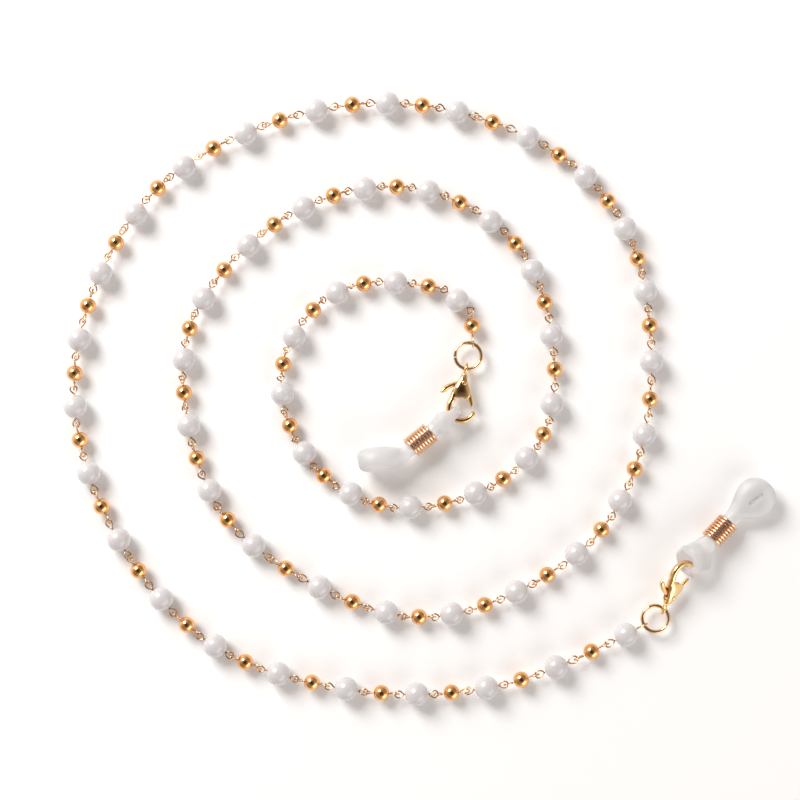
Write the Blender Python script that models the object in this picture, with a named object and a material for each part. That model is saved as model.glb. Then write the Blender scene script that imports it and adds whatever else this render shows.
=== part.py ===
"""Beaded eyeglasses chain strap, lying coiled on a table.

Units in this file are millimetres; meshes are scaled to metres when an object is made.
The frame is +Z up, with the strap resting on z = 0.

The chain has 108 links. Each link is a bead on a wire pin with an eye loop at both ends,
and the eyes of neighbouring links pass through each other. Pearls and gold beads take
turns. Both ends carry a jump ring, a lobster clasp and a silicone temple loop with a
sliding wire coil.

The three links next to each jump ring have bead and pin as separate pieces. The links
between them are joined in runs of three, so that the strap stays within 60 pieces.
"""

import math

import bmesh
import bpy
from mathutils import Matrix, Vector

MM = 0.001

# Beads
PEARL_RADIUS = 2.5
GOLD_RADIUS = 1.7
BEAD_HOLE_RADIUS = 0.42
PEARL_AXIS_HEIGHT = 2.5
GOLD_AXIS_HEIGHT = 2.35

# Eye pins
WIRE_HALF = 0.18
EYE_HALF_WIDTH = 0.84
EYE_REACH = 0.42
EYE_STEM = 0.35
EYE_CLEARANCE = 0.8
JOINED_WIRE = 0.3
RUN_SIDES = 6

# Chain
LINKS = 108
LOOSE_LINKS = 3
RUN_LINKS = 3

# Where every third bead of the coiled strap lies, from the outer end inwards
ROUTE = [
    (43.5, -50), (21.5, -59.5), (-0.5, -62.5), (-22.5, -60), (-43, -52.5), (-59, -36.5),
    (-69.5, -16), (-72.5, 5), (-67, 26), (-55, 44), (-36.5, 55.5), (-14, 61.5),
    (8, 60), (29.5, 51), (43.5, 35.5), (48.5, 15), (47.5, -8), (38.5, -28),
    (20.5, -41), (0, -46.5), (-21, -40), (-40.5, -26), (-48.5, -6), (-48.5, 14.5),
    (-36, 32), (-18, 42.5), (2, 43.5), (20.5, 32.5), (28, 13), (26.5, -8),
    (12, -20.5), (-8.5, -23), (-24.5, -12), (-29, 7), (-17.5, 22.5), (2, 23.5),
]
# The last two beads, one by one, where the strap turns towards its inner clasp
ROUTE_END = [(9.0, 21.6), (12.6, 15.0)]

# Jump rings
RING_RADIUS = 2.75
RING_WIRE = 0.4
RING_HEIGHT = 2.4
OUTER_RING = (49.6, -46.5)
INNER_RING = (10.3, 8.6)

# Lobster clasps: u runs from the tail eye to the hook, v to the thumb tab, w across
EYE_HOLE = 0.78
EYE_OUTER = 1.4
EYE_THICKNESS = 1.0
CLAW_CENTRE = (8.2, -1.0)
CLAW_INNER = 2.1
CLAW_OUTER = 3.2
CLAW_HALF = 0.75
BODY_HALF = 1.15
SLOT_HALF = 0.62
LEVER_HALF = 0.45
PIVOT = (3.0, -0.3)
PIN_RADIUS = 0.3
PIN_HOLE = 0.45
SPRING_RADIUS = 0.62
SPRING_WIRE = 0.07
SPRING_HEIGHT = 0.535

# Silicone temple loops
LOBE_HOLE_LENGTH = 2.0
LOBE_HOLE_WIDTH = 1.8
LOBE_WALL = 1.1
LOBE_HALF = 1.15
LOBE_SETBACK = 1.1
NECK_RADIUS = 1.55
TEMPLE_RADIUS = 4.4
TEMPLE_LENGTH = 4.8
TEMPLE_HALF = 2.6
TEMPLE_SLIT_LENGTH = 2.2
TEMPLE_SLIT_WIDTH = 0.9

# Wire coils that slide on the silicone
COIL_RADIUS = 2.05
COIL_WIRE = 0.25
COIL_LENGTH = 6.0
COIL_TURNS = 8
COIL_TRAVEL = 1.2

# How each end lies: the clasp's yaw, pitch and roll, the side that the silicone leaves
# the hook (degrees from u towards v), the coil's centre and the temple loop's yaw and roll
OUTER_END = {
    "ring": OUTER_RING, "tail_yaw": 50, "clasp": (68, 12, 38), "leave": -20,
    "coil": (63, -28, 2.9), "temple_yaw": 38, "temple_height": 2.6, "temple_roll": 0,
}
INNER_END = {
    "ring": INNER_RING, "tail_yaw": -100, "clasp": (-103, 4, 180), "leave": 40,
    "coil": (0.3, -9, 3.7), "temple_yaw": 188, "temple_height": 4.4, "temple_roll": 90,
}


# Route of the chain

def spline_point(before, start, end, after, t):
    """Catmull-Rom point between start and end."""
    slope_start = (end - before) / 2
    slope_end = (after - start) / 2
    return (start * (2 * t ** 3 - 3 * t ** 2 + 1) + slope_start * (t ** 3 - 2 * t ** 2 + t)
            + end * (3 * t ** 2 - 2 * t ** 3) + slope_end * (t ** 3 - t ** 2))


def bead_places():
    """Plan position of each bead centre along the route."""
    route = [Vector(point) for point in ROUTE]
    last = [Vector(point) for point in ROUTE_END]
    before = route[0] * 2 - route[1]
    after = route[-1] + (last[0] - route[-1]) * RUN_LINKS
    padded = [before] + route + [after]
    places = []
    for span in range(len(route) - 1):
        for step in range(RUN_LINKS):
            places.append(spline_point(*padded[span:span + 4], step / RUN_LINKS))
    return places + [route[-1]] + last


def bead_radius(link):
    """Pearls have even numbers, gold beads odd ones."""
    return PEARL_RADIUS if link % 2 == 0 else GOLD_RADIUS


def link_height(link):
    """Height of a link's pin; gold links hang a little lower in the pearls' eyes."""
    return PEARL_AXIS_HEIGHT if link % 2 == 0 else GOLD_AXIS_HEIGHT


def towards(start, end, distance):
    """Point at a distance from start on the line to end."""
    return start + (end - start).normalized() * distance


def hook_places(beads):
    """Plan position where each pair of eyes meets, with a jump ring's wire at both ends."""
    outer_ring = Vector(OUTER_RING)
    inner_ring = Vector(INNER_RING)
    hooks = [towards(outer_ring, beads[0], RING_RADIUS)]
    for link in range(LINKS - 1):
        gap = (beads[link + 1] - beads[link]).length - bead_radius(link) - bead_radius(link + 1)
        reach = bead_radius(link) + gap / 2
        hooks.append(towards(beads[link], beads[link + 1], reach))
    hooks.append(towards(inner_ring, beads[-1], RING_RADIUS))
    return hooks


# Meshes

def mesh_object(name, build):
    """Object at the origin, in millimetres, whose mesh a function fills."""
    bm = bmesh.new()
    build(bm)
    bmesh.ops.recalc_face_normals(bm, faces=bm.faces)
    mesh = bpy.data.meshes.new(name)
    bm.to_mesh(mesh)
    bm.free()
    result = bpy.data.objects.new(name, mesh)
    bpy.context.scene.collection.objects.link(result)
    return result


def combine(target, tools, operation):
    """Boolean of the target with each tool in turn; the tools are removed."""
    for tool in tools:
        modifier = target.modifiers.new(operation.lower(), "BOOLEAN")
        modifier.operation = operation
        modifier.solver = "EXACT"
        modifier.object = tool
        graph = bpy.context.evaluated_depsgraph_get()
        result = bpy.data.meshes.new_from_object(target.evaluated_get(graph))
        target.modifiers.clear()
        target.data = result
        bpy.data.objects.remove(tool)
    return target


def finish(piece, frame, material):
    """Scale the mesh to metres, place the object and give it its material."""
    piece.data.transform(Matrix.Scale(MM, 4))
    place = frame.copy()
    place.translation = frame.translation * MM
    piece.matrix_world = place
    piece.data.materials.clear()
    piece.data.materials.append(material)
    piece.data.shade_smooth()
    piece.data.set_sharp_from_angle(angle=math.radians(40))
    return piece


def tube(stations, sides):
    """Capped tube through rings given as (centre, direction, radius)."""
    def ring_points(centre, along, radius):
        side = Vector((0, 0, 1)).cross(along).normalized()
        up = along.cross(side)
        angles = [2 * math.pi * (corner + 0.5) / sides for corner in range(sides)]
        return [centre + (side * math.cos(a) + up * math.sin(a)) * radius for a in angles]

    def build(bm):
        rings = [[bm.verts.new(point) for point in ring_points(*station)] for station in stations]
        for here, there in zip(rings, rings[1:]):
            for corner in range(sides):
                after = (corner + 1) % sides
                bm.faces.new((here[corner], there[corner], there[after], here[after]))
        bm.faces.new(rings[0])
        bm.faces.new(rings[-1][::-1])
    return mesh_object("tube", build)


def prism(outline, low, high):
    """Outline in u and v, extruded along w."""
    def build(bm):
        bottom = [bm.verts.new((u, v, low)) for u, v in outline]
        top = [bm.verts.new((u, v, high)) for u, v in outline]
        bm.faces.new(bottom[::-1])
        bm.faces.new(top)
        for index in range(len(outline)):
            after = (index + 1) % len(outline)
            bm.faces.new((bottom[index], bottom[after], top[after], top[index]))
    return mesh_object("prism", build)


def turned(profile, segments, axis="z"):
    """Closed profile of (radius, height) points, turned about an axis."""
    turn = {"x": Matrix.Rotation(math.pi / 2, 4, "Y"), "y": Matrix.Rotation(math.pi / 2, 4, "X"),
            "z": Matrix.Identity(4)}[axis]

    def build(bm):
        rings = []
        for step in range(segments):
            angle = 2 * math.pi * step / segments
            rings.append([bm.verts.new(turn @ Vector((r * math.cos(angle), r * math.sin(angle), h)))
                          for r, h in profile])
        for step in range(segments):
            here = rings[step]
            there = rings[(step + 1) % segments]
            for index in range(len(profile)):
                after = (index + 1) % len(profile)
                bm.faces.new((here[index], there[index], there[after], here[after]))
    return mesh_object("turned", build)


def rod(points, half, normal, closed=False, sides=4):
    """Wire of square or many-sided section along points, its flat side facing the normal."""
    count = len(points)
    normal = normal.normalized()

    def section(index):
        before = points[index - 1] if closed or index > 0 else points[index]
        after = points[(index + 1) % count] if closed or index < count - 1 else points[index]
        along = (after - before).normalized()
        side = normal.cross(along).normalized()
        ring = []
        for corner in range(sides):
            angle = 2 * math.pi * (corner + 0.5) / sides
            ring.append(points[index] + (side * math.cos(angle) + normal * math.sin(angle)) * half)
        return ring

    def build(bm):
        rings = [[bm.verts.new(corner) for corner in section(index)] for index in range(count)]
        for index in range(count if closed else count - 1):
            here = rings[index]
            there = rings[(index + 1) % count]
            for corner in range(sides):
                after = (corner + 1) % sides
                bm.faces.new((here[corner], there[corner], there[after], here[after]))
        if not closed:
            bm.faces.new(rings[0])
            bm.faces.new(rings[-1][::-1])
    return mesh_object("rod", build)


def disc_outline(centre, radius, sides):
    """Points of a round outline."""
    return [(centre[0] + radius * math.cos(2 * math.pi * step / sides),
             centre[1] + radius * math.sin(2 * math.pi * step / sides)) for step in range(sides)]


def arc_outline(centre, radius, start, end, steps):
    """Points of an arc, angles in degrees from u towards v."""
    points = []
    for step in range(steps + 1):
        angle = math.radians(start + (end - start) * step / steps)
        points.append((centre[0] + radius * math.cos(angle), centre[1] + radius * math.sin(angle)))
    return points


# Chain links

class Link:
    """Place of one link: its bead, its pin's line and the reach of its eyes."""

    def __init__(self, index, beads, hooks):
        self.index = index
        self.radius = bead_radius(index)
        height = link_height(index)
        self.start = hooks[index].to_3d() + Vector((0, 0, height))
        self.end = hooks[index + 1].to_3d() + Vector((0, 0, height))
        self.axis = (self.end - self.start).normalized()
        offset = (beads[index].to_3d() + Vector((0, 0, height)) - self.start).dot(self.axis)
        self.centre = self.start + self.axis * offset

    def side(self, forward):
        """Outward direction, distance from bead to hook and reach past it, at one end."""
        outward = self.axis if forward else -self.axis
        hook = self.end if forward else self.start
        room = (hook - self.centre).length - self.radius
        on_ring = self.index == (LINKS - 1 if forward else 0)
        reach = RING_WIRE + EYE_STEM if on_ring else min(EYE_REACH, room - EYE_CLEARANCE)
        return outward, room, reach

    def eye(self, forward, origin):
        """Eye loop: flat on a pearl's pin, upright on a gold bead's pin and at a jump ring."""
        outward, room, reach = self.side(forward)
        upright = self.index % 2 == 1 or (self.index == 0 and not forward)
        normal = Vector((0, 0, 1)).cross(outward) if upright else Vector((0, 0, 1))
        across = normal.cross(outward)
        length = room + reach - EYE_STEM
        shape = [(0, 0), (0.28, 1), (1, 0.6), (1, -0.6), (0.28, -1)]
        foot = self.centre + outward * (self.radius + EYE_STEM) - origin
        points = [foot + outward * length * a + across * EYE_HALF_WIDTH * b for a, b in shape]
        return rod(points, WIRE_HALF * math.sqrt(2), normal, closed=True)

    def pin(self, origin):
        """Straight part of the wire, through the bead."""
        reach = self.radius + EYE_STEM
        points = [self.centre - origin - self.axis * reach, self.centre - origin + self.axis * reach]
        return rod(points, WIRE_HALF * math.sqrt(2), Vector((0, 0, 1)))


def eye_pin(name, link, origin, material):
    """Wire pin of a loose link with its two eyes."""
    pin = combine(link.pin(origin), [link.eye(True, origin), link.eye(False, origin)], "UNION")
    pin.name = name
    return finish(pin, Matrix.Translation(origin), material)


def drilled_bead(name, link, material):
    """Bead with its hole, turned about the pin."""
    edge = math.asin(BEAD_HOLE_RADIUS / link.radius)
    steps = 4
    profile = []
    for step in range(steps + 1):
        angle = edge + (math.pi - 2 * edge) * step / steps
        profile.append((link.radius * math.sin(angle), link.radius * math.cos(angle)))
    bead = turned(profile, 10)
    bead.name = name
    frame = Vector((0, 0, 1)).rotation_difference(link.axis).to_matrix().to_4x4()
    frame.translation = link.centre
    return finish(bead, frame, material)


def bead_stations(link, origin):
    """Rings of a bead on its wire, from pole to pole."""
    edge = math.asin(JOINED_WIRE / link.radius)
    angles = [edge, math.radians(45), math.radians(90), math.radians(135), math.pi - edge]
    return [(link.centre - origin - link.axis * link.radius * math.cos(angle), link.axis,
             link.radius * math.sin(angle)) for angle in angles]


def chain_run(name, links, origin, material):
    """Links joined in a run: beads, the wire between them and an eye at both ends."""
    first, last = links[0], links[-1]
    foot = first.centre - origin - first.axis * (first.radius + EYE_STEM)
    tip = last.centre - origin + last.axis * (last.radius + EYE_STEM)
    stations = [(foot, first.axis, JOINED_WIRE)]
    for link in links:
        stations += bead_stations(link, origin)
    stations.append((tip, last.axis, JOINED_WIRE))
    run = tube(stations, RUN_SIDES)
    combine(run, [first.eye(False, origin), last.eye(True, origin)], "UNION")
    run.name = name
    return finish(run, Matrix.Translation(origin), material)


# Jump rings

def jump_ring(name, centre, hook, material):
    """Round wire ring with its origin where the chain's eye holds it."""
    profile = [(RING_RADIUS + RING_WIRE * math.cos(2 * math.pi * step / 6),
                RING_WIRE * math.sin(2 * math.pi * step / 6)) for step in range(6)]
    ring = turned(profile, 16)
    ring.name = name
    offset = Vector(centre) - hook
    ring.data.transform(Matrix.Translation(offset.to_3d()))
    origin = hook.to_3d() + Vector((0, 0, RING_HEIGHT))
    return finish(ring, Matrix.Translation(origin), material)


# Lobster clasps

def clasp_frame(end):
    """Frame of a clasp: origin in the tail eye, u along it, v to the thumb tab, w across."""
    yaw, pitch, roll = (math.radians(angle) for angle in end["clasp"])
    tail_yaw = math.radians(end["tail_yaw"])
    ring = Vector(end["ring"])
    tail = ring + Vector((math.cos(tail_yaw), math.sin(tail_yaw))) * RING_RADIUS
    turn = Matrix.Rotation(yaw, 4, "Z") @ Matrix.Rotation(-pitch, 4, "Y") @ Matrix.Rotation(roll, 4, "X")
    return Matrix.Translation(tail.to_3d() + Vector((0, 0, RING_HEIGHT))) @ turn


def claw_outline():
    """Hook and body in one outline."""
    left = [(1.0, 0.6), (2.6, 1.2), (4.6, 1.8)]
    outside = arc_outline(CLAW_CENTRE, CLAW_OUTER, 118, -90, 9)
    inside = arc_outline(CLAW_CENTRE, CLAW_INNER, -90, 200, 10)
    right = [(5.6, -2.3), (4.2, -1.75), (2.6, -1.2), (1.0, -0.6)]
    return left + outside + inside + right


def body_outline():
    """Thicker body behind the hook, over the lever's slot."""
    return [(1.0, 0.6), (2.6, 1.2), (4.6, 1.8), (6.0, 1.3), (6.0, -1.2), (5.6, -2.3),
            (4.2, -1.75), (2.6, -1.2), (1.0, -0.6)]


def clasp_body(name, frame, roll, material):
    """Fixed half of the clasp: tail eye, slotted body and hook."""
    body = prism(claw_outline(), -CLAW_HALF, CLAW_HALF)
    eye_profile = [(EYE_HOLE, -EYE_THICKNESS / 2), (EYE_OUTER, -EYE_THICKNESS / 2),
                   (EYE_OUTER, EYE_THICKNESS / 2), (EYE_HOLE, EYE_THICKNESS / 2)]
    eye = turned(eye_profile, 12, "y")
    eye.data.transform(Matrix.Rotation(-math.radians(roll), 4, "X"))
    combine(body, [prism(body_outline(), -BODY_HALF, BODY_HALF), eye], "UNION")
    slot = prism([(1.9, -4.5), (6.6, -4.5), (6.6, 0.3), (4.7, 0.3), (4.7, 4), (1.9, 4)],
                 -SLOT_HALF, SLOT_HALF)
    pin_hole = prism(disc_outline(PIVOT, PIN_HOLE, 8), -2, 2)
    combine(body, [slot, pin_hole], "DIFFERENCE")
    body.name = name
    return finish(body, frame, material)


def lever_outline():
    """Gate on one side of the pivot and thumb tab on the other."""
    return [(2.2, -0.8), (2.7, -1.1), (5.5, -2.4), (7.35, -3.35), (7.8, -2.6), (5.6, -1.45),
            (3.9, -0.4), (4.0, 1.7), (6.0, 3.6), (5.6, 4.3), (3.3, 2.4), (2.9, 0.5), (2.2, 0.1)]


def at_pivot(outline):
    """Outline measured from the lever's pivot."""
    return [(u - PIVOT[0], v - PIVOT[1]) for u, v in outline]


def clasp_lever(name, frame, material):
    """Lever that opens the clasp, its origin on the pin."""
    lever = prism(at_pivot(lever_outline()), -LEVER_HALF, LEVER_HALF)
    combine(lever, [prism(disc_outline((0, 0), PIN_HOLE, 8), -2, 2)], "DIFFERENCE")
    lever.name = name
    return finish(lever, frame @ Matrix.Translation((*PIVOT, 0)), material)


def clasp_pin(name, frame, material):
    """Rivet that the lever turns on."""
    pin = prism(disc_outline((0, 0), PIN_RADIUS, 8), -BODY_HALF, BODY_HALF)
    pin.name = name
    return finish(pin, frame @ Matrix.Translation((*PIVOT, 0)), material)


def lever_spring(name, frame, material):
    """Torsion spring round the rivet, between the lever and one cheek."""
    profile = [(SPRING_RADIUS + SPRING_WIRE * math.cos(math.pi * (step + 0.5) / 2),
                SPRING_HEIGHT + SPRING_WIRE * math.sin(math.pi * (step + 0.5) / 2))
               for step in range(4)]
    spring = turned(profile, 10)
    spring.name = name
    return finish(spring, frame @ Matrix.Translation((*PIVOT, 0)), material)


# Silicone temple loops

def rounded_box_outline(centre, half_length, half_width, sides):
    """Outline between an ellipse and a rectangle."""
    points = []
    for step in range(sides):
        angle = 2 * math.pi * step / sides
        c, s = math.cos(angle), math.sin(angle)
        points.append((centre + half_length * math.copysign(abs(c) ** 0.6, c),
                       half_width * math.copysign(abs(s) ** 0.6, s)))
    return points


def hook_frame(end, clasp):
    """Frame on the hook's wire: s runs along the silicone, then the clasp's w and the height."""
    leave = math.radians(end["leave"])
    reach = (CLAW_INNER + CLAW_OUTER) / 2
    local = Matrix.Translation((CLAW_CENTRE[0] + reach * math.cos(leave),
                                CLAW_CENTRE[1] + reach * math.sin(leave), 0))
    return clasp @ local @ Matrix.Rotation(leave, 4, "Z") @ Matrix.Rotation(math.pi / 2, 4, "X")


def silicone_layout(end, clasp):
    """World frames of the lobe, the coil and the temple loop of one end."""
    lobe = hook_frame(end, clasp)
    lobe_end = lobe @ Vector((LOBE_HOLE_LENGTH * 2 - LOBE_SETBACK + LOBE_WALL * 0.8, 0, 0))
    coil_centre = Vector(end["coil"])
    along = (coil_centre - lobe_end).normalized()
    coil = along.to_track_quat("X", "Z").to_matrix().to_4x4()
    coil.translation = coil_centre
    neck_end = coil_centre + along * (COIL_LENGTH / 2 + COIL_TRAVEL + 1.0)
    neck_end.z = end["temple_height"]
    temple = Matrix.Translation(neck_end) @ Matrix.Rotation(math.radians(end["temple_yaw"]), 4, "Z")
    temple = temple @ Matrix.Rotation(math.radians(end["temple_roll"]), 4, "X")
    return lobe, lobe_end, coil, temple


def temple_outline():
    """Teardrop: narrow at the neck, round at the far end."""
    spread = 118
    return [(-0.6, -NECK_RADIUS), *arc_outline((TEMPLE_LENGTH, 0), TEMPLE_RADIUS, -spread, spread, 14),
            (-0.6, NECK_RADIUS)]


def slit_outline():
    """Opening of the temple loop."""
    centre = TEMPLE_LENGTH + 0.2
    flat = TEMPLE_SLIT_LENGTH - TEMPLE_SLIT_WIDTH
    return (arc_outline((centre + flat, 0), TEMPLE_SLIT_WIDTH, -90, 90, 4)
            + arc_outline((centre - flat, 0), TEMPLE_SLIT_WIDTH, 90, 270, 4))


def silicone_loop(name, end, clasp, material):
    """Figure of eight in silicone: a small lobe on the hook, a neck and the temple loop."""
    lobe_frame, lobe_end, coil, temple = silicone_layout(end, clasp)
    into = lobe_frame.inverted()
    centre = LOBE_HOLE_LENGTH - LOBE_SETBACK
    lobe = prism(rounded_box_outline(centre, LOBE_HOLE_LENGTH + LOBE_WALL,
                                     LOBE_HOLE_WIDTH + LOBE_WALL, 20), -LOBE_HALF, LOBE_HALF)
    lobe_hole = prism(rounded_box_outline(centre, LOBE_HOLE_LENGTH, LOBE_HOLE_WIDTH, 16), -4, 4)
    combine(lobe, [lobe_hole], "DIFFERENCE")
    loop = prism(temple_outline(), -TEMPLE_HALF, TEMPLE_HALF)
    combine(loop, [prism(slit_outline(), -4, 4)], "DIFFERENCE")
    loop.data.transform(into @ temple)
    neck_stop = coil @ Vector((COIL_LENGTH / 2 + COIL_TRAVEL + 1.6, 0, 0))
    neck = rod([into @ lobe_end, into @ neck_stop], NECK_RADIUS, Vector((0, 0, 1)), sides=10)
    combine(lobe, [neck, loop], "UNION")
    lobe.name = name
    return finish(lobe, lobe_frame, material)


def coil_sleeve(name, coil, material):
    """Close-wound wire coil round the neck."""
    points = []
    sides = 10
    pitch = (COIL_LENGTH - 2 * COIL_WIRE) / COIL_TURNS
    for step in range(COIL_TURNS * sides + 1):
        angle = 2 * math.pi * step / sides
        along = -COIL_LENGTH / 2 + COIL_WIRE + pitch * step / sides
        points.append(Vector((along, COIL_RADIUS * math.cos(angle), COIL_RADIUS * math.sin(angle))))
    sleeve = helix_wire(points)
    sleeve.name = name
    return finish(sleeve, coil, material)


def helix_wire(points):
    """Wire of square section along a helix about X."""
    def section(point):
        out = Vector((0, point.y, point.z)).normalized() * COIL_WIRE
        along = Vector((COIL_WIRE, 0, 0))
        return [point + out + along, point + out - along, point - out - along, point - out + along]

    def build(bm):
        rings = [[bm.verts.new(corner) for corner in section(point)] for point in points]
        for here, there in zip(rings, rings[1:]):
            for corner in range(4):
                after = (corner + 1) % 4
                bm.faces.new((here[corner], there[corner], there[after], here[after]))
        bm.faces.new(rings[0])
        bm.faces.new(rings[-1][::-1])
    return mesh_object("helix", build)


# Assembly

def metal_or_plastic(name, colour, metallic, roughness):
    """Principled material."""
    material = bpy.data.materials.new(name)
    material.use_nodes = True
    shader = material.node_tree.nodes["Principled BSDF"]
    shader.inputs["Base Color"].default_value = (*colour, 1)
    shader.inputs["Metallic"].default_value = metallic
    shader.inputs["Roughness"].default_value = roughness
    return material


def build_chain(materials):
    """Loose links at both ends and the joined runs between them."""
    beads = bead_places()
    hooks = hook_places(beads)
    links = [Link(index, beads, hooks) for index in range(LINKS)]
    outer = [("outer", step + 1, links[step]) for step in range(LOOSE_LINKS)]
    inner = [("inner", step + 1, links[-1 - step]) for step in range(LOOSE_LINKS)]
    for end, number, link in outer + inner:
        kind = "pearl" if link.index % 2 == 0 else "gold"
        eye_pin(f"eye_pin_{end}_{number}", link, link.centre, materials["wire"])
        drilled_bead(f"{kind}_bead_{end}_{number}", link, materials[kind])
    joined = links[LOOSE_LINKS:-LOOSE_LINKS]
    for run in range(len(joined) // RUN_LINKS):
        members = joined[run * RUN_LINKS:(run + 1) * RUN_LINKS]
        kind = "pearl" if members[1].index % 2 == 0 else "gold"
        chain_run(f"chain_run_{run + 1:02d}", members, members[0].start, materials[kind])
    return hooks


def build_end(side, end, hook, materials):
    """Jump ring, clasp and temple loop of one end."""
    jump_ring(f"jump_ring_{side}", end["ring"], hook, materials["gold"])
    clasp = clasp_frame(end)
    clasp_body(f"clasp_body_{side}", clasp, end["clasp"][2], materials["clasp"])
    clasp_lever(f"clasp_lever_{side}", clasp, materials["clasp"])
    clasp_pin(f"clasp_pin_{side}", clasp, materials["clasp"])
    lever_spring(f"lever_spring_{side}", clasp, materials["steel"])
    silicone_loop(f"silicone_loop_{side}", end, clasp, materials["silicone"])
    coil = silicone_layout(end, clasp)[2]
    coil_sleeve(f"coil_sleeve_{side}", coil, materials["copper"])


def rest_on_origin():
    """Move all pieces so that the box round the strap stands centred on the origin."""
    bpy.context.view_layer.update()
    corners = [piece.matrix_world @ vertex.co
               for piece in bpy.data.objects for vertex in piece.data.vertices]
    low = Vector([min(corner[axis] for corner in corners) for axis in range(3)])
    high = Vector([max(corner[axis] for corner in corners) for axis in range(3)])
    shift = Vector(((low.x + high.x) / 2, (low.y + high.y) / 2, low.z))
    for piece in bpy.data.objects:
        piece.matrix_world = Matrix.Translation(-shift) @ piece.matrix_world
    bpy.context.view_layer.update()


def main():
    for leftover in list(bpy.data.objects):
        bpy.data.objects.remove(leftover)
    materials = {
        "pearl": metal_or_plastic("pearl", (0.86, 0.82, 0.80), 0, 0.25),
        "gold": metal_or_plastic("gold", (0.90, 0.58, 0.25), 1, 0.15),
        "wire": metal_or_plastic("wire", (0.85, 0.62, 0.42), 1, 0.25),
        "clasp": metal_or_plastic("clasp", (0.90, 0.68, 0.32), 1, 0.2),
        "steel": metal_or_plastic("steel", (0.6, 0.6, 0.6), 1, 0.3),
        "copper": metal_or_plastic("copper", (0.85, 0.45, 0.25), 1, 0.2),
        "silicone": metal_or_plastic("silicone", (0.85, 0.84, 0.84), 0, 0.4),
    }
    hooks = build_chain(materials)
    build_end("outer", OUTER_END, hooks[0], materials)
    build_end("inner", INNER_END, hooks[-1], materials)
    rest_on_origin()


main()
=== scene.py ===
"""Looks of the beaded eyeglasses chain strap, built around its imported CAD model.

Lengths are in millimetres until a piece is made; the frame is in metres.
"""

import math
import random

import bpy
from mathutils import Matrix, Vector


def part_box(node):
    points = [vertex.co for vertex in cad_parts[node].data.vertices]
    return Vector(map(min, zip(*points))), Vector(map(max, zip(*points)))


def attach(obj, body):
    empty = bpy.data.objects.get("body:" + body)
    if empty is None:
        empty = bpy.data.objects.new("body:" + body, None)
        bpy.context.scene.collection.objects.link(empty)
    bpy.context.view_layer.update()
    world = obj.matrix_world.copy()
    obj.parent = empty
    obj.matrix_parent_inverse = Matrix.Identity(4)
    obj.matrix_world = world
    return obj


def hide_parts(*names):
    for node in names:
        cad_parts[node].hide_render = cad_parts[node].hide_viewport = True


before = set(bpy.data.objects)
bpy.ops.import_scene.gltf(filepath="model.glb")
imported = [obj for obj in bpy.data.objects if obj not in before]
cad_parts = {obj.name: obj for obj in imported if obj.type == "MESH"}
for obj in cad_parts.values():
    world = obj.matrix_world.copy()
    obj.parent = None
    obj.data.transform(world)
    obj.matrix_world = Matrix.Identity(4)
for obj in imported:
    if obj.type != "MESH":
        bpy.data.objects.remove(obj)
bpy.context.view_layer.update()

MM = 0.001

# Sizes that the CAD model has too
PEARL_RADIUS = 2.5
GOLD_RADIUS = 1.7
PEARL_AXIS_HEIGHT = 2.5
GOLD_AXIS_HEIGHT = 2.35
EYE_HALF_WIDTH = 0.8
EYE_REACH = 0.42
EYE_STEM = 0.35
EYE_CLEARANCE = 0.8
LINKS = 108
LOOSE_LINKS = 3
RUN_LINKS = 3
RING_RADIUS = 2.75
RING_WIRE = 0.4
RING_HEIGHT = 2.4
OUTER_RING = (49.6, -46.5)
INNER_RING = (10.3, 8.6)
CLAW_CENTRE = (8.2, -1.0)
CLAW_INNER = 2.1
CLAW_OUTER = 3.2
PIVOT = (3.0, -0.3)
LOBE_SETBACK = 1.1
LOBE_HOLE_LENGTH = 2.0
LOBE_WALL = 1.1
COIL_RADIUS = 2.05
COIL_WIRE = 0.25
COIL_LENGTH = 6.0
COIL_TRAVEL = 1.2

# Where every third bead lies, from the outer end inwards, then the last two beads
ROUTE = [
    (43.5, -50), (21.5, -59.5), (-0.5, -62.5), (-22.5, -60), (-43, -52.5), (-59, -36.5),
    (-69.5, -16), (-72.5, 5), (-67, 26), (-55, 44), (-36.5, 55.5), (-14, 61.5),
    (8, 60), (29.5, 51), (43.5, 35.5), (48.5, 15), (47.5, -8), (38.5, -28),
    (20.5, -41), (0, -46.5), (-21, -40), (-40.5, -26), (-48.5, -6), (-48.5, 14.5),
    (-36, 32), (-18, 42.5), (2, 43.5), (20.5, 32.5), (28, 13), (26.5, -8),
    (12, -20.5), (-8.5, -23), (-24.5, -12), (-29, 7), (-17.5, 22.5), (2, 23.5),
]
ROUTE_END = [(9.0, 21.6), (12.6, 15.0)]

# How each end lies, as in the CAD model: angles in degrees, clasp as (yaw, pitch, roll). The lobe's
# spread is its half width past the hook; it is wide already beside the hook on one side of it
OUTER_END = {
    "ring": OUTER_RING, "tail_yaw": 50, "clasp": (68, 12, 38), "leave": -20,
    "coil": (63, -28, 2.9), "temple_yaw": 38, "temple_height": 2.6, "temple_roll": 0,
    "lobe_spread": 4.0, "lobe_wide_side": -1,
}
INNER_END = {
    "ring": INNER_RING, "tail_yaw": -100, "clasp": (-103, 4, 180), "leave": 40,
    "coil": (0.3, -9, 3.7), "temple_yaw": 188, "temple_height": 4.4, "temple_roll": 90,
    "lobe_spread": 2.3, "lobe_wide_side": 1,
}

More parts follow.
